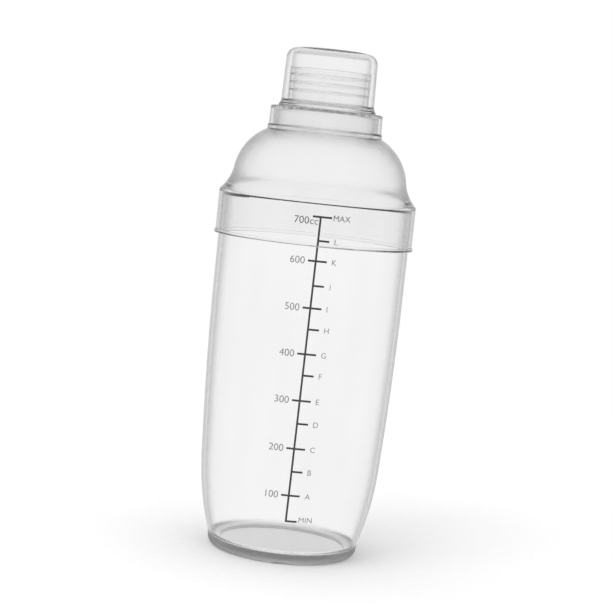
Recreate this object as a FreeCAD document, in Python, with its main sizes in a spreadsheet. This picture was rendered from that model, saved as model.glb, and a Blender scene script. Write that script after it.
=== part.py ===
"""A clear 700 cc shaker: a tapered cup, a domed lid, a strainer collar and a cap.

All sizes are millimetres. The origin is the middle of the face that the cup stands on and +Z
is up. Each piece is turned about the Z axis and holds to the next one by a push fit.
"""

import os
import re

import FreeCAD
import Part
import Sketcher

SHEET = "Sizes"

# alias: (value in mm, what it is)
SIZES = {
    # cup
    "cup_height": (156.9, "standing face to rim, where the lid seats"),
    "cup_rim_radius": (42.2, "outer radius of the straight top of the wall"),
    "cup_wall": (1.8, "wall at the rim"),
    "cup_straight_from": (120.0, "height above which the wall is straight"),
    "cup_bow_radius": (1420.0, "long bow of the wall below the straight top"),
    "cup_belly_top": (38.0, "height at which the wall starts to turn in to the foot"),
    "cup_foot_radius": (33.45, "outer radius of the foot"),
    "cup_foot_height": (4.4, "straight edge of the foot"),
    "cup_foot_wall": (1.5, "wall beside the floor"),
    "cup_foot_rounding": (3.2, "rounding under the foot"),
    "cup_ankle_rounding": (6.0, "rounding outside, where the wall meets the foot"),
    "cup_ring_width": (5.4, "width of the ring that the cup stands on"),
    "cup_ring_depth": (1.6, "depth of the hollow inside that ring"),
    "cup_floor": (2.8, "thickness of the floor"),
    "cup_floor_rounding": (3.0, "rounding between the floor and the wall inside"),
    "cup_rim_rounding": (0.3, "outer rounding of the rim"),
    "cup_rim_inner_rounding": (1.4, "inner rounding of the rim"),
    "notch_width": (6.0, "vent notch through the front of the foot ring"),
    "notch_depth": (0.8, "height of that notch"),
    # shared
    "fit": (0.08, "radial clearance of each push fit"),
    "edge_rounding": (0.5, "rounding of small outer edges"),
    "lip_rounding": (0.3, "rounding of the lips that stand out of the band and the skirt"),
    # domed lid
    "band_wall": (1.4, "wall of the band outside the cup"),
    "band_overlap": (18.2, "how far the band reaches down the cup"),
    "band_lip": (0.45, "how far the lip stands out of the band"),
    "band_lip_height": (1.6, "height of that lip"),
    "band_foot_rounding": (0.9, "inner rounding of the band's foot, which leads the cup in"),
    "band_top": (1.1, "band above the cup's rim, up to the cove"),
    "dome_inset": (3.8, "how far the dome's widest stands in from the cup's rim radius"),
    "dome_arc": (24.0, "radius of the dome's round"),
    "dome_middle": (7.95, "height of the round's middle above the rim"),
    "dome_turn": (11.45, "height above the rim where the cove turns into the dome"),
    "dome_wall": (1.6, "wall of the dome"),
    "ledge_width": (2.1, "ledge that the collar sits on, outside the lid's neck"),
    "ledge_step": (1.3, "height of the ledge above the dome at its foot"),
    "spigot_radius": (23.25, "outer radius of the lid's neck, inside the collar"),
    "spigot_wall": (1.55, "wall of the lid's neck"),
    "spigot_gap": (0.2, "room between the lid's neck and the strainer plate"),
    # strainer collar
    "collar_wall": (1.6, "wall of the collar's skirt"),
    "collar_draft": (0.15, "how much narrower the skirt is at its top"),
    "collar_height": (9.0, "ledge to the top of the strainer plate"),
    "collar_lip": (0.45, "how far the lip stands out of the skirt"),
    "collar_lip_height": (0.8, "height of that lip"),
    "collar_foot_rounding": (0.9, "inner rounding of the skirt's foot"),
    "plate_thickness": (1.5, "strainer plate"),
    "neck_radius": (17.6, "outer radius of the pouring neck"),
    "neck_wall": (1.5, "wall of the pouring neck"),
    "neck_height": (17.0, "pouring neck above the plate"),
    "neck_rounding": (0.5, "rounding of the neck's rim"),
    "rib_height": (0.35, "how far a friction rib stands out of the neck"),
    "rib_first": (7.4, "lowest rib above the plate"),
    "rib_pitch": (3.4, "step from rib to rib"),
    "hole_diameter": (3.0, "strainer hole"),
    "hole_edge": (2.6, "outermost hole centres to the neck's bore"),
    # cap
    "cap_headroom": (7.1, "room between the neck's rim and the cap's ceiling"),
    "cap_wall": (2.47, "wall of the cap where it meets the flare"),
    "cap_step": (0.55, "how far the bore steps in above the neck's rim"),
    "cap_step_gap": (0.3, "room between the neck's rim and that step"),
    "cap_draft": (0.45, "how much narrower the cap is at its top"),
    "cap_top": (1.9, "thickness of the flat top"),
    "cap_corner": (4.5, "outer rounding of the top"),
    "cap_inner_corner": (2.2, "inner rounding under the top"),
    "cap_lip": (1.0, "how far the flared foot stands out of the wall"),
    "cap_lip_height": (1.0, "straight edge of the flared foot"),
    "cap_foot_rounding": (1.0, "inner rounding of the foot, which leads the neck in"),
    "cap_flare_height": (3.6, "height of the flared foot"),
}

HOLES_IN_RINGS = (1, 6, 12, 18)
RIBS = 3
FULL_TURN = 360.0
# which side of its chord an arc stands out on, seen along the outline, as drawing starts
RIGHT, LEFT = 1.0, -1.0
# how a sketch numbers the points of a curve, and the axis of its own that starts at its origin
START, END, MIDDLE = 1, 2, 3
OWN_AXIS = -1
SAME_PLACE = 1e-6
SAME_EDGE = 0.01

# heights above the cup's rim and radii that more than one piece takes from the same sizes
DOME_MIDDLE_RADIUS = "(cup_rim_radius - dome_inset - dome_arc)"
LEDGE_RADIUS = "(spigot_radius + ledge_width)"
DOME_END = f"(dome_middle + sqrt(dome_arc ^ 2 - ({LEDGE_RADIUS} - {DOME_MIDDLE_RADIUS}) ^ 2))"
LEDGE_HEIGHT = f"({DOME_END} + ledge_step)"
SPIGOT_HEIGHT = "(collar_height - plate_thickness - spigot_gap)"
NECK_BORE = "(neck_radius - neck_wall)"
CAP_HEIGHT = "(neck_height + cap_headroom + cap_top)"

doc = FreeCAD.newDocument("shaker")


def fill_sheet():
    """Writes every size to the sheet as a plain number with an alias."""
    sheet = doc.addObject("Spreadsheet::Sheet", SHEET)
    for row, (alias, (value, meaning)) in enumerate(SIZES.items(), start=1):
        sheet.set(f"A{row}", meaning)
        sheet.set(f"B{row}", str(value))
        sheet.setAlias(f"B{row}", alias)
    doc.recompute()
    return sheet


sheet = fill_sheet()


def size(expression):
    """The present value of an expression on the sheet's aliases."""
    return float(sheet.evalExpression(expression))


def on_sheet(expression):
    """The expression with each alias named through the sheet, as a constraint needs it."""
    return re.sub(r"[a-z_]+", lambda word: sheet_name(word.group()), expression)


def sheet_name(word):
    """An alias as the sheet's own, and any other word, such as sqrt, as it is."""
    return f"{SHEET}.{word}" if word in SIZES else word


def new_body(label):
    """An empty body, whose label is the name of its piece."""
    body = doc.addObject("PartDesign::Body", label)
    body.Label = label
    return body


def origin_feature(body, role):
    """One of the body's own origin planes or axes."""
    return next(f for f in body.Origin.OriginFeatures if f.Role == role)


def new_sketch(body, name, role="XZ_Plane"):
    """A sketch on one of the body's own origin planes; on XZ, its x is radius and its y is Z."""
    sketch = body.newObject("Sketcher::SketchObject", name)
    sketch.AttachmentSupport = (origin_feature(body, role), [""])
    sketch.MapMode = "FlatFace"
    return sketch


def bind(sketch, constraint, expression):
    """Adds a constraint with a value and ties that value to the sheet."""
    index = sketch.addConstraint(constraint)
    sketch.setExpression(f"Constraints[{index}]", on_sheet(expression))


def circle_sketch(body, name, role, radius, across, up):
    """A sketch of one circle whose middle is at the given place."""
    sketch = new_sketch(body, name, role)
    middle = FreeCAD.Vector(size(across), size(up), 0)
    sketch.addGeometry(Part.Circle(middle, FreeCAD.Vector(0, 0, 1), size(radius)))
    bind(sketch, Sketcher.Constraint("Radius", 0, size(radius)), radius)
    for kind, place in (("DistanceX", across), ("DistanceY", up)):
        bind(sketch, Sketcher.Constraint(kind, OWN_AXIS, START, 0, MIDDLE, size(place)), place)
    return sketch


class Outline:
    """A closed outline in a sketch, drawn corner by corner.

    A corner's two places are expressions on the sheet. A place that starts with ~ is only
    where drawing starts: the tangency of the curves beside it then decides it.
    """

    def __init__(self, body, name, role="XZ_Plane"):
        self.sketch = new_sketch(body, name, role)
        self.corners = []
        self.edges = []

    def corner(self, across, up):
        """Adds a corner; the edge from the one before it is straight."""
        self.corners.append((across, up))
        self.edges.append(None)

    def arc(self, across, up, side, **rules):
        """Adds a corner at the end of an arc that stands out on the given side."""
        self.corners.append((across, up))
        self.edges.append((side, rules))

    def draw(self):
        """Draws the edges, joins them and adds the places and rules."""
        places = [
            FreeCAD.Vector(size(across.lstrip("~")), size(up.lstrip("~")), 0)
            for across, up in self.corners
        ]
        count = len(places)
        for index in range(count):
            first, last = places[index], places[(index + 1) % count]
            curve = self.edges[(index + 1) % count]
            if curve is None:
                self.sketch.addGeometry(Part.LineSegment(first, last))
                continue
            along = (last - first).normalize()
            middle = (first + last) / 2 + FreeCAD.Vector(along.y, -along.x, 0) * curve[0]
            self.sketch.addGeometry(Part.Arc(first, middle, last))
        ends = [self.ends_of(index, places[index]) for index in range(count)]
        for index in range(count):
            follower = (index + 1) % count
            self.join(index, ends[index][1], follower, ends[follower][0])
        for index, (across, up) in enumerate(self.corners):
            self.place("DistanceX", index, ends[index][0], across)
            self.place("DistanceY", index, ends[index][0], up)
        for index, curve in enumerate(self.edges):
            if curve is not None:
                self.rule((index - 1) % count, curve[1])
        return self.sketch

    def ends_of(self, index, place):
        """Which ends of an edge are its first and last as drawn: an arc runs anticlockwise."""
        if self.sketch.getPoint(index, START).distanceToPoint(place) < SAME_PLACE:
            return START, END
        return END, START

    def join(self, edge, edge_end, follower, follower_end):
        """Joins two edges at a corner, smoothly where the arc that ends there asks for it."""
        curve = self.edges[(edge + 1) % len(self.edges)]
        kind = "Tangent" if curve and curve[1].get("smooth_end") else "Coincident"
        self.sketch.addConstraint(
            Sketcher.Constraint(kind, edge, edge_end, follower, follower_end)
        )

    def place(self, kind, edge, end, expression):
        """Fixes one place of a corner, unless tangency decides it."""
        if expression.startswith("~"):
            return
        where = Sketcher.Constraint(kind, OWN_AXIS, START, edge, end, size(expression))
        bind(self.sketch, where, expression)

    def rule(self, edge, rules):
        """Adds an arc's own radius and middle where they are given."""
        if "radius" in rules:
            radius = Sketcher.Constraint("Radius", edge, size(rules["radius"]))
            bind(self.sketch, radius, rules["radius"])
        for kind, key in (("DistanceX", "middle_across"), ("DistanceY", "middle_up")):
            if key in rules:
                self.place(kind, edge, MIDDLE, rules[key])


def turned(body, sketch, kind="PartDesign::Revolution"):
    """Turns an outline all the way round the sketch's upright axis."""
    feature = body.newObject(kind, f"{sketch.Name}_turned")
    feature.Profile = sketch
    feature.ReferenceAxis = (sketch, ["V_Axis"])
    feature.Angle = FULL_TURN
    sketch.Visibility = False
    doc.recompute()
    return feature


def circle_edges(feature, places):
    """Names of the feature's round edges whose radius and height are one of the places."""
    wanted = [(size(radius), size(height)) for radius, height in places]
    names = []
    for number, edge in enumerate(feature.Shape.Edges, start=1):
        if not isinstance(edge.Curve, Part.Circle):
            continue
        found = (edge.Curve.Radius, edge.Curve.Center.z)
        if any(max(abs(found[0] - r), abs(found[1] - z)) < SAME_EDGE for r, z in wanted):
            names.append(f"Edge{number}")
    if len(names) < len(places):
        raise ValueError(f"{feature.Name} has {len(names)} of {len(places)} edges to round")
    return names


def rounded(body, name, radius, places):
    """Rounds the edges of the body at the given (radius, height) places."""
    base = body.Tip
    fillet = body.newObject("PartDesign::Fillet", name)
    fillet.Base = (base, circle_edges(base, places))
    fillet.setExpression("Radius", on_sheet(radius))
    doc.recompute()
    return fillet


def cut_through(body, sketch, depth, upward):
    """Pockets a sketch by depth and checks that it takes something off."""
    before = body.Shape.Volume
    pocket = body.newObject("PartDesign::Pocket", f"{sketch.Name}_cut")
    pocket.Profile = sketch
    pocket.setExpression("Length", on_sheet(depth))
    pocket.Reversed = upward
    sketch.Visibility = False
    doc.recompute()
    if body.Shape.Volume >= before:
        raise ValueError(f"{sketch.Name} cuts nothing")
    return pocket


def make_cup():
    """The beaker: a straight top, a long bow, a turned-in belly and a ring to stand on."""
    body = new_body("cup")
    rim, height = "cup_rim_radius", "cup_height"
    bow_drop = "(cup_straight_from - cup_belly_top) ^ 2 / (2 * cup_bow_radius)"

    outer = Outline(body, "cup_outside")
    outer.corner("0", "0")
    outer.corner("cup_foot_radius", "0")
    outer.corner("cup_foot_radius", "cup_foot_height")
    outer.arc(f"~{rim} - {bow_drop}", "cup_belly_top", RIGHT, smooth_end=True)
    outer.arc(rim, "cup_straight_from", RIGHT, radius="cup_bow_radius", smooth_end=True)
    outer.corner(rim, height)
    outer.corner("0", height)
    turned(body, outer.draw())

    floor = "cup_ring_depth + cup_floor"
    inner_rim = "cup_rim_radius - cup_wall"
    inner = Outline(body, "cup_inside")
    inner.corner("0", floor)
    inner.corner("cup_foot_radius - cup_foot_wall", floor)
    inner.arc(f"~{inner_rim} - {bow_drop}", "cup_belly_top", RIGHT, smooth_end=True)
    inner.arc(
        inner_rim,
        "cup_straight_from",
        RIGHT,
        radius="cup_bow_radius - cup_wall",
        smooth_end=True,
    )
    inner.corner(inner_rim, height)
    inner.corner("0", height)
    turned(body, inner.draw(), "PartDesign::Groove")

    ring_inside = "cup_foot_radius - cup_ring_width"
    hollow = Outline(body, "cup_ring_hollow")
    hollow.corner("0", "0")
    hollow.corner(ring_inside, "0")
    hollow.corner(ring_inside, "cup_ring_depth")
    hollow.corner("0", "cup_ring_depth")
    turned(body, hollow.draw(), "PartDesign::Groove")

    rounded(body, "foot_round", "cup_foot_rounding", [("cup_foot_radius", "0")])
    rounded(body, "ankle_round", "cup_ankle_rounding", [("cup_foot_radius", "cup_foot_height")])
    rounded(
        body,
        "floor_round",
        "cup_floor_rounding",
        [("cup_foot_radius - cup_foot_wall", floor)],
    )
    rounded(body, "rim_round", "cup_rim_rounding", [(rim, height)])
    rounded(body, "rim_inner_round", "cup_rim_inner_rounding", [(inner_rim, height)])
    cut_notch(body)
    return body


def cut_notch(body):
    """The vent notch through the front of the foot ring, open a little past both of its faces."""
    side = "notch_width / 2"
    front = "0 - cup_foot_radius - notch_depth"
    back = "0 - cup_foot_radius + cup_ring_width + notch_depth"
    notch = Outline(body, "vent_notch", "XY_Plane")
    notch.corner(f"0 - {side}", front)
    notch.corner(side, front)
    notch.corner(side, back)
    notch.corner(f"0 - {side}", back)
    cut_through(body, notch.draw(), "notch_depth", upward=True)


def make_dome_lid():
    """The lid, with its origin at the rim of the cup: band, seat, cove, dome and neck."""
    body = new_body("dome_lid")
    body.setExpression("Placement.Base.z", on_sheet("cup_height"))
    band = "cup_rim_radius + fit + band_wall"
    band_bore = "cup_rim_radius + fit"
    seat = "cup_rim_radius - cup_wall"
    bottom = "0 - band_overlap"
    top = f"{LEDGE_HEIGHT} + {SPIGOT_HEIGHT}"
    middle = DOME_MIDDLE_RADIUS
    rise = "(dome_turn - dome_middle)"

    outer = Outline(body, "lid_outside")
    outer.corner("0", bottom)
    outer.corner(f"{band} + band_lip", bottom)
    outer.corner(f"{band} + band_lip", f"{bottom} + band_lip_height")
    outer.corner(band, f"{bottom} + band_lip_height")
    outer.corner(band, "band_top")
    outer.arc(
        f"~{middle} + sqrt(dome_arc ^ 2 - {rise} ^ 2)",
        "dome_turn",
        LEFT,
        smooth_end=True,
    )
    outer.arc(
        LEDGE_RADIUS,
        f"~{DOME_END}",
        RIGHT,
        radius="dome_arc",
        middle_across=middle,
        middle_up="dome_middle",
    )
    outer.corner(LEDGE_RADIUS, LEDGE_HEIGHT)
    outer.corner("spigot_radius", LEDGE_HEIGHT)
    outer.corner("spigot_radius", top)
    outer.corner("0", top)
    turned(body, outer.draw())

    bore = "spigot_radius - spigot_wall"
    inner_arc = "(dome_arc - dome_wall)"
    inner = Outline(body, "lid_inside")
    inner.corner("0", bottom)
    inner.corner(band_bore, bottom)
    inner.corner(band_bore, "0")
    inner.corner(seat, "0")
    inner.arc(
        f"~{middle} + sqrt({inner_arc} ^ 2 - {rise} ^ 2)",
        "dome_turn",
        LEFT,
        smooth_end=True,
    )
    inner.arc(
        bore,
        f"~dome_middle + sqrt({inner_arc} ^ 2 - ({bore} - {middle}) ^ 2)",
        RIGHT,
        radius="dome_arc - dome_wall",
        middle_across=middle,
        middle_up="dome_middle",
    )
    inner.corner(bore, top)
    inner.corner("0", top)
    turned(body, inner.draw(), "PartDesign::Groove")

    rounded(
        body,
        "lid_edges_round",
        "lip_rounding",
        [
            (f"{band} + band_lip", bottom),
            (f"{band} + band_lip", f"{bottom} + band_lip_height"),
        ],
    )
    rounded(body, "band_foot_round", "band_foot_rounding", [(band_bore, bottom)])
    rounded(body, "band_top_round", "band_wall", [(band, "band_top")])
    rounded(body, "spigot_round", "edge_rounding", [("spigot_radius", top), (bore, top)])
    return body


def make_strainer_collar():
    """The collar, with its origin on the lid's ledge: skirt, holed plate, neck and ribs."""
    body = new_body("strainer_collar")
    body.setExpression("Placement.Base.z", on_sheet(f"cup_height + {LEDGE_HEIGHT}"))
    bore = "spigot_radius + fit"
    skirt = f"{bore} + collar_wall"
    under_plate = "collar_height - plate_thickness"
    neck_top = "collar_height + neck_height"

    outline = Outline(body, "collar_section")
    outline.corner("0", under_plate)
    outline.corner(bore, under_plate)
    outline.corner(bore, "0")
    outline.corner(f"{skirt} + collar_lip", "0")
    outline.corner(f"{skirt} + collar_lip", "collar_lip_height")
    outline.corner(skirt, "collar_lip_height")
    outline.corner(f"{skirt} - collar_draft", "collar_height")
    outline.corner("neck_radius", "collar_height")
    outline.corner("neck_radius", neck_top)
    outline.corner(NECK_BORE, neck_top)
    outline.corner(NECK_BORE, "collar_height")
    outline.corner("0", "collar_height")
    turned(body, outline.draw())

    rounded(
        body,
        "collar_edges_round",
        "edge_rounding",
        [(f"{skirt} - collar_draft", "collar_height")],
    )
    rounded(
        body,
        "collar_lip_round",
        "lip_rounding",
        [
            (f"{skirt} + collar_lip", "0"),
            (f"{skirt} + collar_lip", "collar_lip_height"),
        ],
    )
    rounded(body, "collar_foot_round", "collar_foot_rounding", [(bore, "0")])
    rounded(
        body,
        "neck_rim_round",
        "neck_rounding",
        [("neck_radius", neck_top), (NECK_BORE, neck_top)],
    )
    add_ribs(body)
    drill_strainer(body)
    return body


def add_ribs(body):
    """Round friction ribs on the neck, evenly stepped up it."""
    first = "collar_height + rib_first"
    rib = turned(body, circle_sketch(body, "rib", "XZ_Plane", "rib_height", "neck_radius", first))
    pattern = body.newObject("PartDesign::LinearPattern", "ribs")
    pattern.Originals = [rib]
    pattern.Direction = (origin_feature(body, "Z_Axis"), [""])
    pattern.Occurrences = RIBS
    pattern.setExpression("Length", on_sheet(f"rib_pitch * {RIBS - 1}"))
    body.Tip = pattern
    doc.recompute()


def drill_strainer(body):
    """The strainer's holes: one in the middle and even rings of them, out to the neck's bore."""
    outermost = len(HOLES_IN_RINGS) - 1
    for ring, count in enumerate(HOLES_IN_RINGS):
        ring_radius = f"({NECK_BORE} - hole_edge) * {ring} / {outermost}"
        name = f"hole_ring_{ring}"
        sketch = circle_sketch(body, name, "XY_Plane", "hole_diameter / 2", ring_radius, "0")
        hole = cut_through(body, sketch, "collar_height", upward=True)
        if count > 1:
            pattern = body.newObject("PartDesign::PolarPattern", f"holes_{ring}")
            pattern.Originals = [hole]
            pattern.Axis = (origin_feature(body, "Z_Axis"), [""])
            pattern.Angle = FULL_TURN
            pattern.Occurrences = count
            body.Tip = pattern
            doc.recompute()


def make_cap():
    """The cap, with its origin on the strainer plate: flared foot, wall and flat top."""
    body = new_body("cap")
    body.setExpression("Placement.Base.z", on_sheet(f"cup_height + {LEDGE_HEIGHT} + collar_height"))
    bore = "neck_radius + rib_height + fit"
    wall = f"{bore} + cap_wall"

    outer = Outline(body, "cap_outside")
    outer.corner("0", "0")
    outer.corner(f"{wall} + cap_lip", "0")
    outer.corner(f"{wall} + cap_lip", "cap_lip_height")
    outer.arc(wall, "cap_flare_height", LEFT, smooth_end=True)
    outer.corner(f"{wall} - cap_draft", CAP_HEIGHT)
    outer.corner("0", CAP_HEIGHT)
    turned(body, outer.draw())

    ceiling = "neck_height + cap_headroom"
    step = "neck_height + cap_step_gap"
    inner = Outline(body, "cap_inside")
    inner.corner("0", "0")
    inner.corner(bore, "0")
    inner.corner(bore, step)
    inner.corner(f"{bore} - cap_step", step)
    inner.corner(f"{bore} - cap_step", ceiling)
    inner.corner("0", ceiling)
    turned(body, inner.draw(), "PartDesign::Groove")

    rounded(body, "cap_top_round", "cap_corner", [(f"{wall} - cap_draft", CAP_HEIGHT)])
    rounded(body, "cap_ceiling_round", "cap_inner_corner", [(f"{bore} - cap_step", ceiling)])
    rounded(body, "cap_lip_round", "lip_rounding", [(f"{wall} + cap_lip", "0")])
    rounded(body, "cap_foot_round", "cap_foot_rounding", [(bore, "0")])
    return body


def check_document(pieces):
    """Stops if anything in the document failed or a piece is not one valid solid."""
    for item in doc.Objects:
        if "Invalid" in item.State or "Error" in item.State:
            raise ValueError(f"{item.Name} failed: {item.State}")
    for piece in pieces:
        shape = piece.Shape
        if shape.isNull() or not shape.isValid() or len(shape.Solids) != 1:
            raise ValueError(f"{piece.Label} is not one valid solid")


def main():
    """Builds the four pieces, checks them and writes one STEP file for each."""
    pieces = [make_cup(), make_dome_lid(), make_strainer_collar(), make_cap()]
    doc.recompute()
    check_document(pieces)
    os.makedirs("parts", exist_ok=True)
    for piece in pieces:
        piece.Shape.exportStep(f"parts/{piece.Label}.step")
        box = piece.Shape.BoundBox
        print(f"{piece.Label}: {piece.Shape.Volume:.0f} mm3, z {box.ZMin:.2f} to {box.ZMax:.2f}")


main()
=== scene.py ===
"""A clear 700 cc shaker: its finishes, its printed scale and a plain studio round it.

Lengths are metres. +Z is up along the axis that every piece is turned about, and -Y is the
front, where the scale is printed.
"""

import logging
import math
from dataclasses import dataclass
from enum import Enum

import bmesh
import bpy
from mathutils import Matrix, Vector
from mathutils.bvhtree import BVHTree


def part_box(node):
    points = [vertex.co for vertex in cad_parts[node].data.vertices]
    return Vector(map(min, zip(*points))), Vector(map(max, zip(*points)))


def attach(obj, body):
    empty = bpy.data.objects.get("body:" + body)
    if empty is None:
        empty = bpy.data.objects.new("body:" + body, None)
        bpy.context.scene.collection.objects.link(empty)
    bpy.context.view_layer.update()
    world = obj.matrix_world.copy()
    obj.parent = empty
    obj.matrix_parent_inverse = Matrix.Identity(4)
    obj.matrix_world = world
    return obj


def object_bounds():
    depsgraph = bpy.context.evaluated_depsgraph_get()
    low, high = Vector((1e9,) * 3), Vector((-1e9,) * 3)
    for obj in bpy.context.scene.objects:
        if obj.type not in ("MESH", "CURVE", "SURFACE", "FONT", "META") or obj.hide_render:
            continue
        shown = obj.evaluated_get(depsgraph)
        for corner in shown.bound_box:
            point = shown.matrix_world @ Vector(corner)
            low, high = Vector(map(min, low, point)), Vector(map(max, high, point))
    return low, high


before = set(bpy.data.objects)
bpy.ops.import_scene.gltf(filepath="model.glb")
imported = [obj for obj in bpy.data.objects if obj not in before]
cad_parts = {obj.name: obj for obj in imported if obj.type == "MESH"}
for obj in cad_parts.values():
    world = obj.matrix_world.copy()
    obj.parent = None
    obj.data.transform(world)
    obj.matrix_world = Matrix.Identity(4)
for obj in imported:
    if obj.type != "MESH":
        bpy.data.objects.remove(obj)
cad_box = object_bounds()

log = logging.getLogger("shaker")
cad_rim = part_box("cup")[1].z

MM = 0.001
FRONT = -math.pi / 2

Colour = tuple[float, float, float]
Place = tuple[float, float, float]
Socket = bpy.types.NodeSocket


class Node(Enum):
    """The construction's four pieces, each a body of the same name."""

    CUP = "cup"
    LID = "dome_lid"
    COLLAR = "strainer_collar"
    CAP = "cap"


class Align(Enum):
    """Which edge of a line of lettering stands at its given place."""

    LEFT = "LEFT"
    RIGHT = "RIGHT"


class Graph:
    """Adds and joins the nodes of one node tree."""

    def __init__(self, tree: bpy.types.NodeTree) -> None:
        """Starts with an empty tree.

        Args:
            tree: The tree of a material, a world or a group.
        """
        self.tree = tree
        tree.nodes.clear()

    def node(self, kind: str, feeds: dict | None = None, **settings: object) -> bpy.types.Node:
        """Adds a node.

        Args:
            kind: The node's type name.
            feeds: Sockets to join or values to set, by input name or number.
            settings: The node's own properties.

        Returns:
            The new node.
        """
        node = self.tree.nodes.new(kind)
        for name, value in settings.items():
            setattr(node, name, value)
        for name, value in (feeds or {}).items():
            self.feed(node.inputs[name], value)
        return node

    def feed(self, socket: Socket, value: object) -> None:
        """Joins a socket to another one, or sets its value."""
        if isinstance(value, bpy.types.NodeSocket):
            self.tree.links.new(value, socket)
        else:
            socket.default_value = value

    def math(self, operation: str, *values: object) -> Socket:
        """The result of one Math node."""
        return self.node("ShaderNodeMath", dict(enumerate(values)), operation=operation).outputs[0]

    def ramp(self, value: Socket, low: float, high: float, to_low: float, to_high: float) -> Socket:
        """A value eased from one range to another.

        Args:
            value: What is eased.
            low, high: The range that it comes from.
            to_low, to_high: What the ends of that range turn into.

        Returns:
            The eased value, which stays between to_low and to_high.
        """
        feeds = {"Value": value, 1: low, 2: high, 3: to_low, 4: to_high}
        ramp = self.node("ShaderNodeMapRange", feeds, interpolation_type="SMOOTHSTEP")
        return ramp.outputs["Result"]

    def blend(self, share: object, first: object, second: object) -> Socket:
        """A colour between two others."""
        blend = self.node("ShaderNodeMix", {"Factor": share}, data_type="RGBA")
        self.feed(blend.inputs["A"], first)
        self.feed(blend.inputs["B"], second)
        return blend.outputs["Result"]

    def group(self, tree: bpy.types.NodeTree, **feeds: object) -> bpy.types.Node:
        """Places a node group, whose inputs are named with _ for each space."""
        node = self.node("ShaderNodeGroup", node_tree=tree)
        for name, value in feeds.items():
            self.feed(node.inputs[name.replace("_", " ")], value)
        return node


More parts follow.
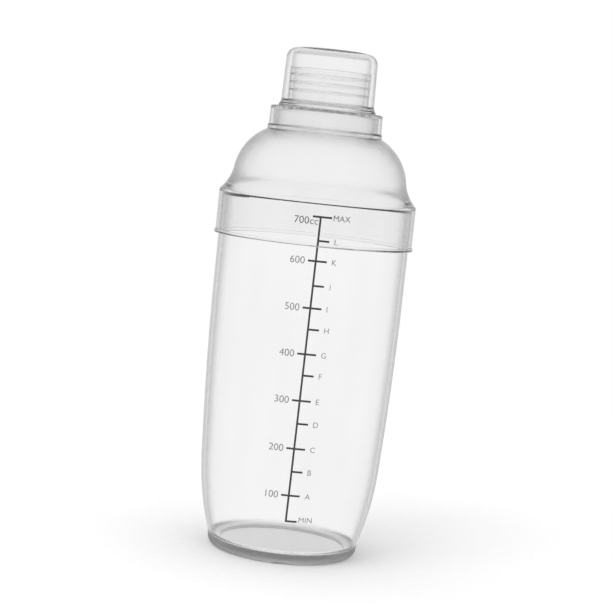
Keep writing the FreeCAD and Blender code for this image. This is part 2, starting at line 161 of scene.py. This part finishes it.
class Effects:
    """Node groups that more than one finish or surface uses, each built once.

    A stretch is how much finer an effect is up the piece than round it. A fade is the range in
    which the studio turns from one level to another, by the wave across the panels or by how
    steeply a direction rises.
    """

    FLOW_STRETCH = 0.22
    SCRATCH_STRETCHES = (0.04, 14.0)
    SCRATCH_LEVEL = 0.78
    SCRATCH_EDGE = 0.08
    CLOUD_STRETCH = 0.6
    CLOUD_RANGE = (0.35, 0.7)
    PANEL_FADE = (-0.2, 1.0)
    PANEL_SIDE = 0.74
    GAP_FADE = (-0.9, 0.1)
    TOP_FADE = (0.13, 0.45)
    FLOOR_FADE = (-0.9, -0.65)

    def __init__(self) -> None:
        """Builds every group."""
        self.flow = self.build_flow()
        self.wear = self.build_wear()
        self.cloud = self.build_cloud()
        self.panels = self.build_panels()

    @staticmethod
    def start(name: str, inputs: dict[str, str], outputs: tuple[str, ...]) -> tuple[Graph, dict]:
        """An empty group with named sockets.

        Args:
            name: The group's name.
            inputs: The kind of each input, by name.
            outputs: The names of the outputs, which are plain values.

        Returns:
            The group's graph, and its input sockets by name.
        """
        tree = bpy.data.node_groups.new(name, "ShaderNodeTree")
        for label, kind in inputs.items():
            tree.interface.new_socket(label, in_out="INPUT", socket_type=kind)
        for label in outputs:
            tree.interface.new_socket(label, in_out="OUTPUT", socket_type="NodeSocketFloat")
        graph = Graph(tree)
        return graph, graph.node("NodeGroupInput").outputs

    @staticmethod
    def stop(graph: Graph, **results: Socket) -> bpy.types.NodeTree:
        """Feeds a group's outputs and returns its tree."""
        output = graph.node("NodeGroupOutput")
        for name, value in results.items():
            graph.feed(output.inputs[name], value)
        return graph.tree

    @staticmethod
    def stretched(graph: Graph, given: dict, along: float) -> Socket:
        """The surface's own place, in steps of the group's Spacing and drawn out along Z."""
        steps = graph.math("DIVIDE", 1.0, given["Spacing"])
        scaled = graph.node("ShaderNodeVectorMath", {0: given["Place"]}, operation="SCALE")
        graph.feed(scaled.inputs["Scale"], steps)
        drawn = graph.node("ShaderNodeVectorMath", {0: scaled.outputs[0]}, operation="MULTIPLY")
        drawn.inputs[1].default_value = (1.0, 1.0, along)
        return drawn.outputs[0]

    def build_flow(self) -> bpy.types.NodeTree:
        """The slow unevenness of a wall that cooled in its mould, drawn out up the piece."""
        kinds = {"Place": "NodeSocketVector", "Spacing": "NodeSocketFloat"}
        graph, given = self.start("mould_flow", kinds, ("Height",))
        place = self.stretched(graph, given, self.FLOW_STRETCH)
        noise = graph.node("ShaderNodeTexNoise", {"Vector": place, "Scale": 1.0, "Detail": 2.0})
        return self.stop(graph, Height=noise.outputs["Fac"])

    def build_wear(self) -> bpy.types.NodeTree:
        """Hairline scratches from washing and stacking, some up the piece and some round it."""
        kinds = {
            "Place": "NodeSocketVector",
            "Spacing": "NodeSocketFloat",
            "Cover": "NodeSocketFloat",
        }
        graph, given = self.start("washing_scratches", kinds, ("Mask",))
        masks = []
        for along in self.SCRATCH_STRETCHES:
            noise = graph.node(
                "ShaderNodeTexNoise",
                {"Vector": self.stretched(graph, given, along), "Scale": 1.0, "Detail": 3.0},
            )
            low = graph.math("SUBTRACT", self.SCRATCH_LEVEL, given["Cover"])
            above = graph.math("SUBTRACT", noise.outputs["Fac"], low)
            masks.append(graph.ramp(above, 0.0, self.SCRATCH_EDGE, 0.0, 1.0))
        return self.stop(graph, Mask=graph.math("MAXIMUM", *masks))

    def build_cloud(self) -> bpy.types.NodeTree:
        """Soft patches where the plastic is a little duller."""
        kinds = {"Place": "NodeSocketVector", "Spacing": "NodeSocketFloat"}
        graph, given = self.start("dull_patches", kinds, ("Mask",))
        place = self.stretched(graph, given, self.CLOUD_STRETCH)
        noise = graph.node("ShaderNodeTexNoise", {"Vector": place, "Scale": 1.0, "Detail": 4.0})
        return self.stop(graph, Mask=graph.ramp(noise.outputs["Fac"], *self.CLOUD_RANGE, 0.0, 1.0))

    def build_panels(self) -> bpy.types.NodeTree:
        """Tall soft panels that stand evenly round the object, with slightly dimmer gaps.

        The Mask is 1 towards the middle of a panel and towards the pale floor underneath, and
        the Gap value towards a gap and overhead.
        """
        kinds = {
            "Direction": "NodeSocketVector",
            "Count": "NodeSocketFloat",
            "Gap": "NodeSocketFloat",
        }
        graph, given = self.start("studio_panels", kinds, ("Mask",))
        unit = graph.node("ShaderNodeVectorMath", {0: given["Direction"]}, operation="NORMALIZE")
        parts = graph.node("ShaderNodeSeparateXYZ", {0: unit.outputs[0]}).outputs
        azimuth = graph.math("ARCTAN2", parts["Y"], parts["X"])
        wave = graph.math("COSINE", graph.math("MULTIPLY", azimuth, given["Count"]))
        panel = graph.ramp(wave, *self.PANEL_FADE, self.PANEL_SIDE, 1.0)
        across = graph.math("MULTIPLY", panel, graph.ramp(wave, *self.GAP_FADE, 0.0, 1.0))
        up = graph.ramp(parts["Z"], *self.TOP_FADE, 1.0, 0.0)
        under = graph.ramp(parts["Z"], *self.FLOOR_FADE, 1.0, 0.0)
        lit = graph.math("MAXIMUM", graph.math("MULTIPLY", across, up), under)
        rest = graph.math("SUBTRACT", 1.0, given["Gap"])
        return self.stop(graph, Mask=graph.math("MULTIPLY_ADD", lit, rest, given["Gap"]))


@dataclass(frozen=True)
class ClearPlastic:
    """The finish of a clear moulding.

    The tint is what each surface lets through. Where the wall is seen at a slant it turns to a
    painted dark edge shade, which darkens the outlines as dark surroundings would. The plastic
    itself takes a share of the light for each metre of its path.
    The satin zone runs from one height to another, and may be kept outside a radius.
    """

    name: str
    tint: Colour = (1.0, 1.0, 1.0)
    dull_tint: Colour = (0.985, 0.985, 0.985)
    ior: float = 1.5
    mirror_tint: Colour = (0.4, 0.4, 0.4)
    polish: float = 0.004
    satin: float = 0.0
    satin_from: float = 0.0
    satin_to: float = 0.0
    satin_outside: float = 0.0
    satin_edge: float = 1.5 * MM
    dullness: float = 0.01
    scratch_roughness: float = 0.06
    scratch_cover: float = 0.1
    scratch_spacing: float = 1.6 * MM
    cloud_spacing: float = 30 * MM
    flow_spacing: float = 11 * MM
    flow_depth: float = 0.008 * MM
    loss_per_metre: float = 22.0
    lost_colour: Colour = (0.0, 0.0, 0.0)
    # Painted shade: the dark colour that walls seen at a slant turn to, and the facing where it
    # starts.
    painted_edge_shade: Colour = (0.12, 0.12, 0.12)
    painted_shade_from: float = 0.5

    def make(self, effects: Effects) -> bpy.types.Material:
        """Builds the material.

        Args:
            effects: The shared node groups.

        Returns:
            The material, with a clear surface and a volume that takes a little light.
        """
        material = bpy.data.materials.new(self.name)
        material.use_nodes = True
        graph = Graph(material.node_tree)
        place = graph.node("ShaderNodeTexCoord").outputs["Object"]
        flow = graph.group(effects.flow, Place=place, Spacing=self.flow_spacing)
        cloud = graph.group(effects.cloud, Place=place, Spacing=self.cloud_spacing)
        wear = graph.group(
            effects.wear, Place=place, Spacing=self.scratch_spacing, Cover=self.scratch_cover
        )
        dull = graph.math("MULTIPLY_ADD", cloud.outputs["Mask"], self.dullness, self.polish)
        if self.satin:
            dull = graph.math("ADD", dull, self.satin_zone(graph, place))
        rough = graph.math("MULTIPLY_ADD", wear.outputs["Mask"], self.scratch_roughness, dull)
        bump = graph.node(
            "ShaderNodeBump",
            {"Height": flow.outputs["Height"], "Strength": 1.0, "Distance": self.flow_depth},
        )
        colour = graph.blend(cloud.outputs["Mask"], (*self.tint, 1.0), (*self.dull_tint, 1.0))
        # Painted shade: the base colour darkens towards the painted edge shade where the wall is
        # seen at a slant, standing in for dark outlines.
        facing = graph.node("ShaderNodeLayerWeight", {"Blend": 0.5}).outputs["Facing"]
        slant = graph.ramp(facing, self.painted_shade_from, 1.0, 0.0, 1.0)
        colour = graph.blend(slant, colour, (*self.painted_edge_shade, 1.0))
        surface = graph.node(
            "ShaderNodeBsdfPrincipled",
            {
                "Base Color": colour,
                "Roughness": rough,
                "IOR": self.ior,
                "Specular Tint": (*self.mirror_tint, 1.0),
                "Transmission Weight": 1.0,
                "Normal": bump.outputs["Normal"],
            },
        )
        volume = graph.node(
            "ShaderNodeVolumeAbsorption",
            {"Color": (*self.lost_colour, 1.0), "Density": self.loss_per_metre},
        )
        output = graph.node("ShaderNodeOutputMaterial")
        graph.feed(output.inputs["Surface"], surface.outputs[0])
        graph.feed(output.inputs["Volume"], volume.outputs[0])
        return material

    def satin_zone(self, graph: Graph, place: Socket) -> Socket:
        """How much rougher the satin zone makes each place of the piece.

        Args:
            graph: The material's graph.
            place: The surface's own place.

        Returns:
            The added roughness.
        """
        height = graph.node("ShaderNodeSeparateXYZ", {0: place}).outputs["Z"]
        zone = graph.ramp(height, self.satin_from, self.satin_to, 0.0, self.satin)
        if not self.satin_outside:
            return zone
        flat = graph.node("ShaderNodeVectorMath", {0: place}, operation="MULTIPLY")
        flat.inputs[1].default_value = (1.0, 1.0, 0.0)
        length = graph.node("ShaderNodeVectorMath", {0: flat.outputs[0]}, operation="LENGTH")
        edge = self.satin_outside + self.satin_edge
        outside = graph.ramp(length.outputs["Value"], self.satin_outside, edge, 0.0, 1.0)
        return graph.math("MULTIPLY", zone, outside)


@dataclass(frozen=True)
class Ink:
    """The finish of the screen-printed scale: matt, dense, with pinholes of thinner ink."""

    name: str
    colour: Colour
    thin_colour: Colour
    spacing: float = 0.5 * MM
    roughness: float = 0.55
    thin_roughness: float = 0.35
    depth: float = 0.004 * MM

    def make(self, effects: Effects) -> bpy.types.Material:
        """Builds the material from the shared node groups and returns it."""
        material = bpy.data.materials.new(self.name)
        material.use_nodes = True
        graph = Graph(material.node_tree)
        place = graph.node("ShaderNodeTexCoord").outputs["Object"]
        thin = graph.group(effects.cloud, Place=place, Spacing=self.spacing).outputs["Mask"]
        bump = graph.node(
            "ShaderNodeBump", {"Height": thin, "Strength": 1.0, "Distance": self.depth}, invert=True
        )
        surface = graph.node(
            "ShaderNodeBsdfPrincipled",
            {
                "Base Color": graph.blend(thin, (*self.colour, 1.0), (*self.thin_colour, 1.0)),
                "Roughness": graph.ramp(thin, 0.0, 1.0, self.roughness, self.thin_roughness),
                "Normal": bump.outputs["Normal"],
            },
        )
        output = graph.node("ShaderNodeOutputMaterial")
        graph.feed(output.inputs["Surface"], surface.outputs[0])
        return material


class TurnedSurface:
    """The outside of a turned piece of the construction."""

    def __init__(self, node: Node) -> None:
        """Reads the piece's mesh from the frame."""
        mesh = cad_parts[node.value].data
        corners = [vertex.co for vertex in mesh.vertices]
        self.tree = BVHTree.FromPolygons(corners, [face.vertices for face in mesh.polygons])
        self.outermost = 2 * max(corner.x for corner in corners)

    def radius(self, height: float) -> float:
        """The outer radius at a height, found beside the seam where the facets' corners lie."""
        beside_seam = 1e-6
        start = Vector((self.outermost, beside_seam, height))
        return self.tree.ray_cast(start, Vector((-1.0, 0.0, 0.0)))[0].x

    def place(self, across: float, height: float, lift: float, azimuth: float) -> Vector:
        """A point on the surface, or a little off it.

        Args:
            across: Way round the surface from the azimuth, to the right as seen from outside.
            height: Height above the standing face.
            lift: Distance out from the surface.
            azimuth: Where across is zero, in radians from +X.

        Returns:
            The point.
        """
        radius = self.radius(height)
        angle = azimuth + across / radius
        return Vector(
            ((radius + lift) * math.cos(angle), (radius + lift) * math.sin(angle), height)
        )


class FlatArt:
    """Flat shapes to print: x is the way round from the scale's line, and y is the height."""

    GRAIN = 0.8 * MM
    LONG_EDGE = 1.5 * GRAIN
    WELD = 0.005 * MM

    def __init__(self) -> None:
        """Starts with nothing drawn."""
        self.mesh = bmesh.new()

    def bar(self, left: float, right: float, low: float, high: float) -> None:
        """Draws an upright rectangle as a grid fine enough to follow the surface."""
        columns = math.ceil((right - left) / self.GRAIN)
        rows = math.ceil((high - low) / self.GRAIN)
        grid = [
            [
                self.mesh.verts.new((
                    left + (right - left) * column / columns,
                    low + (high - low) * row / rows,
                    0.0,
                ))
                for column in range(columns + 1)
            ]
            for row in range(rows + 1)
        ]
        for below, above in zip(grid, grid[1:]):
            for a, b, c, d in zip(below, below[1:], above[1:], above):
                self.mesh.faces.new((a, b, c, d))

    def words(self, text: str, height: float, at: tuple[float, float], align: Align) -> None:
        """Draws lettering whose middle height is at a place.

        Args:
            text: What it says.
            height: Height of its capitals and figures.
            at: Place of its left or right edge.
            align: Which edge that is.
        """
        curve = bpy.data.curves.new("lettering", "FONT")
        curve.body = text
        drawn = bpy.data.objects.new("lettering", curve)
        bpy.context.scene.collection.objects.link(drawn)
        mesh = bpy.data.meshes.new_from_object(
            drawn.evaluated_get(bpy.context.evaluated_depsgraph_get())
        )
        corners = [vertex.co for vertex in mesh.vertices]
        low, high = min(c.y for c in corners), max(c.y for c in corners)
        left, right = min(c.x for c in corners), max(c.x for c in corners)
        scale = height / (high - low)
        edge = left if align is Align.LEFT else right
        shift = Matrix.Translation((at[0] - edge * scale, at[1] - (low + high) / 2 * scale, 0.0))
        mesh.transform(shift @ Matrix.Diagonal((scale, scale, scale, 1.0)))
        self.mesh.from_mesh(mesh)
        bpy.data.meshes.remove(mesh)
        bpy.data.objects.remove(drawn)
        bpy.data.curves.remove(curve)

    def settle(self) -> None:
        """Welds the shapes, turns them to face out and splits edges too long for the surface."""
        mesh = self.mesh
        bmesh.ops.remove_doubles(mesh, verts=mesh.verts, dist=self.WELD)
        for face in mesh.faces:
            if face.normal.z < 0:
                face.normal_flip()
        long = [edge for edge in mesh.edges if edge.calc_length() > self.LONG_EDGE]
        bmesh.ops.subdivide_edges(mesh, edges=long, cuts=1)
        bmesh.ops.triangulate(mesh, faces=mesh.faces)
        mesh.normal_update()
        mesh.verts.index_update()

    def film(
        self,
        name: str,
        surface: TurnedSurface,
        azimuth: float,
        slant: float,
        under: float,
        over: float,
    ) -> bpy.types.Object:
        """Lays the shapes on a turned piece as a closed film.

        Args:
            name: Name of the new piece.
            surface: The piece that the film lies on.
            azimuth: Where x is zero at height zero, in radians from +X.
            slant: How far that turns with height, in radians per metre.
            under: Distance of the film's back from the surface.
            over: Distance of its front from the surface.

        Returns:
            The film, one object of closed shapes.
        """
        self.settle()
        count = len(self.mesh.verts)
        points = [
            surface.place(vertex.co.x, vertex.co.y, lift, azimuth + slant * vertex.co.y)
            for lift in (over, under)
            for vertex in self.mesh.verts
        ]
        fronts = [[vertex.index for vertex in face.verts] for face in self.mesh.faces]
        backs = [[index + count for index in reversed(face)] for face in fronts]
        rims = []
        for edge in self.mesh.edges:
            if edge.is_boundary:
                loop = edge.link_loops[0]
                a, b = loop.vert.index, loop.link_loop_next.vert.index
                rims.append([b, a, a + count, b + count])
        mesh = bpy.data.meshes.new(name)
        mesh.from_pydata(points, [], fronts + backs + rims)
        mesh.update()
        film = bpy.data.objects.new(name, mesh)
        bpy.context.scene.collection.objects.link(film)
        self.mesh.free()
        return film


@dataclass(frozen=True)
class Mark:
    """One mark of the scale, at its height in millimetres on the cup."""

    height: float
    number: str = ""
    letter: str = ""


@dataclass
class PrintedScale:
    """The scale on the front of the cup: a long line with marks, figures and letters."""

    marks: tuple[Mark, ...] = (
        Mark(151.3, "700", "MAX"),
        Mark(141.3, letter="L"),
        Mark(132.7, "600", "K"),
        Mark(122.3, letter="J"),
        Mark(112.8, "500", "I"),
        Mark(103.8, letter="H"),
        Mark(93.2, "400", "G"),
        Mark(84.1, letter="F"),
        Mark(73.2, "300", "E"),
        Mark(63.3, letter="D"),
        Mark(52.4, "200", "C"),
        Mark(42.4, letter="B"),
        Mark(31.9, "100", "A"),
        Mark(20.4, letter="MIN"),
    )
    azimuth: float = FRONT + math.radians(1.1)
    slant: float = math.radians(11.5)
    line_width: float = 0.85 * MM
    tick_left: float = 3.3 * MM
    tick_right: float = 4.7 * MM
    number_height: float = 3.05 * MM
    number_gap: float = 1.3 * MM
    letter_height: float = 2.35 * MM
    letter_gap: float = 2.2 * MM
    word_height: float = 2.4 * MM
    word_gap: float = 0.7 * MM
    unit_height: float = 2.0 * MM
    unit_gap: float = 0.3 * MM
    unit_proportion: float = 1.75
    top_number_drop: float = 1.8 * MM
    bottom_word_rise: float = 0.9 * MM
    under: float = 0.004 * MM
    over: float = 0.03 * MM
    line_ink: Ink = Ink("line_ink", (0.018, 0.018, 0.019), (0.05, 0.05, 0.052))
    figure_ink: Ink = Ink("figure_ink", (0.16, 0.16, 0.162), (0.28, 0.28, 0.282))

    def build(self, effects: Effects) -> None:
        """Draws the scale, lays it on the cup and dresses it."""
        surface = TurnedSurface(Node.CUP)
        for name, art, ink in (
            ("scale_lines", self.draw_lines(), self.line_ink),
            ("scale_figures", self.draw_figures(), self.figure_ink),
        ):
            film = art.film(name, surface, self.azimuth, self.slant, self.under, self.over)
            film.data.materials.append(ink.make(effects))
            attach(film, Node.CUP.value)
            log.info("%s: %d faces", name, len(film.data.polygons))

    def draw_lines(self) -> FlatArt:
        """The long line and its marks."""
        art = FlatArt()
        half = self.line_width / 2
        top, bottom = (self.marks[end].height * MM for end in (0, -1))
        art.bar(-half, half, bottom + half, top - half)
        for mark in self.marks:
            height = mark.height * MM
            left = self.tick_left if mark.number else half
            if mark in (self.marks[0], self.marks[-1]):
                art.bar(-left, self.tick_right, height - half, height + half)
                continue
            art.bar(half, self.tick_right, height - half, height + half)
            if mark.number:
                art.bar(-left, -half, height - half, height + half)
        return art

    def draw_figures(self) -> FlatArt:
        """The figures on the left of the line and the letters on its right."""
        art = FlatArt()
        for mark in self.marks:
            height = mark.height * MM
            is_top, is_bottom = mark is self.marks[0], mark is self.marks[-1]
            if is_top or is_bottom:
                rise = self.bottom_word_rise if is_bottom else 0.0
                at = (self.tick_right + self.word_gap, height + rise)
                art.words(mark.letter, self.word_height, at, Align.LEFT)
            else:
                at = (self.tick_right + self.letter_gap, height)
                art.words(mark.letter, self.letter_height, at, Align.LEFT)
            if is_top:
                self.draw_top_number(art, height - self.top_number_drop)
            elif mark.number:
                at = (-self.tick_left - self.number_gap, height)
                art.words(mark.number, self.number_height, at, Align.RIGHT)
        return art

    def draw_top_number(self, art: FlatArt, height: float) -> None:
        """The highest figure, with its unit between it and the line."""
        unit_edge = -self.line_width
        unit_width = self.unit_proportion * self.unit_height
        foot = height - self.number_height / 2
        at = (unit_edge, foot + self.unit_height / 2)
        art.words("cc", self.unit_height, at, Align.RIGHT)
        at = (unit_edge - unit_width - self.unit_gap, height)
        art.words(self.marks[0].number, self.number_height, at, Align.RIGHT)


@dataclass
class ClearPiece:
    """A clear moulding of the construction, which keeps its shape and gets its finish."""

    node: Node
    finish: ClearPlastic

    def dress(self, effects: Effects) -> None:
        """Puts the finish on every material slot of the piece."""
        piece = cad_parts[self.node.value]
        material = self.finish.make(effects)
        for slot in piece.material_slots:
            slot.material = material
        log.info("%s: %s", self.node.value, self.finish.name)


@dataclass
class Studio:
    """Plain pale surroundings: a floor, tall soft panels all round and a soft lamp."""

    floor_radius: float = 0.8
    floor_sides: int = 128
    floor_colour: Colour = (0.96, 0.96, 0.96)
    floor_grain_colour: Colour = (0.98, 0.98, 0.98)
    floor_grain: float = 4 * MM
    panels: float = 8.0
    panel_gap: float = 0.86
    ambient: float = 1.0
    lamp_power: float = 5.0
    lamp_size: float = 0.9
    lamp_place: Place = (-0.7, -0.8, 1.3)
    bounces: int = 32

    def build(self, effects: Effects) -> None:
        """Builds the world, the floor and the lamp, and the light paths that clear walls need."""
        scene = bpy.context.scene
        scene.view_settings.view_transform = "Standard"
        scene.cycles.max_bounces = self.bounces
        scene.cycles.transmission_bounces = self.bounces
        scene.cycles.glossy_bounces = self.bounces
        self.build_world(effects)
        self.build_floor(effects)
        self.build_lamp()
        log.info("studio: %d panels", self.panels)

    def build_world(self, effects: Effects) -> None:
        """White to the camera, even light on matt surfaces, and the pale panels to clear ones."""
        world = bpy.data.worlds.new("studio")
        bpy.context.scene.world = world
        world.use_nodes = True
        world.cycles.sampling_method = "NONE"
        graph = Graph(world.node_tree)
        direction = graph.node("ShaderNodeTexCoord").outputs["Generated"]
        pale = graph.group(
            effects.panels, Direction=direction, Count=self.panels, Gap=self.panel_gap
        ).outputs["Mask"]
        path = graph.node("ShaderNodeLightPath").outputs
        strength = self.ambient
        for share, level in (
            (path["Is Glossy Ray"], pale),
            (path["Is Transmission Ray"], pale),
            (graph.math("GREATER_THAN", path["Diffuse Depth"], 0.5), self.ambient),
            (path["Is Camera Ray"], 1.0),
        ):
            choice = graph.node("ShaderNodeMix", {"Factor": share}, data_type="FLOAT")
            graph.feed(choice.inputs["A"], strength)
            graph.feed(choice.inputs["B"], level)
            strength = choice.outputs["Result"]
        light = graph.node("ShaderNodeBackground", {"Strength": strength})
        light.inputs["Color"].default_value = (1.0, 1.0, 1.0, 1.0)
        output = graph.node("ShaderNodeOutputWorld")
        graph.feed(output.inputs["Surface"], light.outputs[0])

    def build_floor(self, effects: Effects) -> None:
        """A round pale floor, matt to the eye, where clear walls see the panels instead."""
        mesh = bmesh.new()
        bmesh.ops.create_circle(
            mesh, cap_ends=True, segments=self.floor_sides, radius=self.floor_radius
        )
        data = bpy.data.meshes.new("floor")
        mesh.to_mesh(data)
        mesh.free()
        floor = bpy.data.objects.new("floor", data)
        bpy.context.scene.collection.objects.link(floor)

        material = bpy.data.materials.new("floor_paint")
        material.use_nodes = True
        graph = Graph(material.node_tree)
        place = graph.node("ShaderNodeTexCoord").outputs["Object"]
        grain = graph.group(effects.cloud, Place=place, Spacing=self.floor_grain).outputs["Mask"]
        colour = graph.blend(grain, (*self.floor_colour, 1.0), (*self.floor_grain_colour, 1.0))
        matt = graph.node("ShaderNodeBsdfDiffuse", {"Color": colour})
        clear = graph.node("ShaderNodeBsdfTransparent")
        path = graph.node("ShaderNodeLightPath").outputs
        bent = graph.math("MAXIMUM", path["Is Glossy Ray"], path["Is Transmission Ray"])
        shown = graph.node("ShaderNodeMixShader", {0: bent})
        graph.feed(shown.inputs[1], matt.outputs[0])
        graph.feed(shown.inputs[2], clear.outputs[0])
        output = graph.node("ShaderNodeOutputMaterial")
        graph.feed(output.inputs["Surface"], shown.outputs[0])
        data.materials.append(material)

    def build_lamp(self) -> None:
        """One large soft lamp above and to the left of the front."""
        light = bpy.data.lights.new("soft_lamp", "AREA")
        light.size = self.lamp_size
        light.energy = self.lamp_power
        lamp = bpy.data.objects.new("soft_lamp", light)
        lamp.location = self.lamp_place
        aim = Vector((0.0, 0.0, cad_box[1].z / 2)) - lamp.location
        lamp.visible_glossy = False
        lamp.visible_transmission = False
        lamp.rotation_mode = "QUATERNION"
        lamp.rotation_quaternion = aim.to_track_quat("-Z", "Y")
        bpy.context.scene.collection.objects.link(lamp)


@dataclass
class Camera:
    """The camera in front of the shaker and a little above its middle, turned to lean it."""

    lens: float = 97.5
    distance: float = 0.7343
    height: float = 0.179
    aim_share: float = 0.4925
    aim_across: float = -0.16 * MM
    lean: float = math.radians(6.02)

    def build(self) -> None:
        """Creates the camera and makes it the scene's."""
        camera = bpy.data.objects.new("camera", bpy.data.cameras.new("camera"))
        camera.data.lens = self.lens
        place = Vector((0.0, -self.distance, self.height))
        aim = Vector((self.aim_across, 0.0, cad_box[1].z * self.aim_share)) - place
        turn = aim.to_track_quat("-Z", "Y").to_matrix() @ Matrix.Rotation(self.lean, 3, "Z")
        camera.matrix_world = Matrix.Translation(place) @ turn.to_4x4()
        bpy.context.scene.collection.objects.link(camera)
        bpy.context.scene.camera = camera
        log.info("camera: %.0f mm from the axis", self.distance / MM)


PIECES = (
    ClearPiece(
        Node.CUP,
        ClearPlastic(
            "cup_clear",
            satin=0.35,
            satin_from=6.5 * MM,
            satin_to=4.5 * MM,
            satin_outside=29.5 * MM,
        ),
    ),
    ClearPiece(
        Node.LID,
        ClearPlastic(
            "lid_clear",
            polish=0.01,
            satin=0.15,
            satin_from=cad_rim + 1.5 * MM,
            satin_to=cad_rim + 5 * MM,
        ),
    ),
    ClearPiece(
        Node.COLLAR,
        ClearPlastic("collar_clear", polish=0.015, dullness=0.02),
    ),
    ClearPiece(Node.CAP, ClearPlastic("cap_clear", flow_depth=0.03 * MM)),
)


def main() -> None:
    """Builds the camera, the studio and every piece in order."""
    logging.basicConfig(level=logging.INFO, format="%(name)s: %(message)s")
    effects = Effects()
    Camera().build()
    Studio().build(effects)
    for piece in PIECES:
        piece.dress(effects)
    PrintedScale().build(effects)


if __name__ == "__main__":
    main()
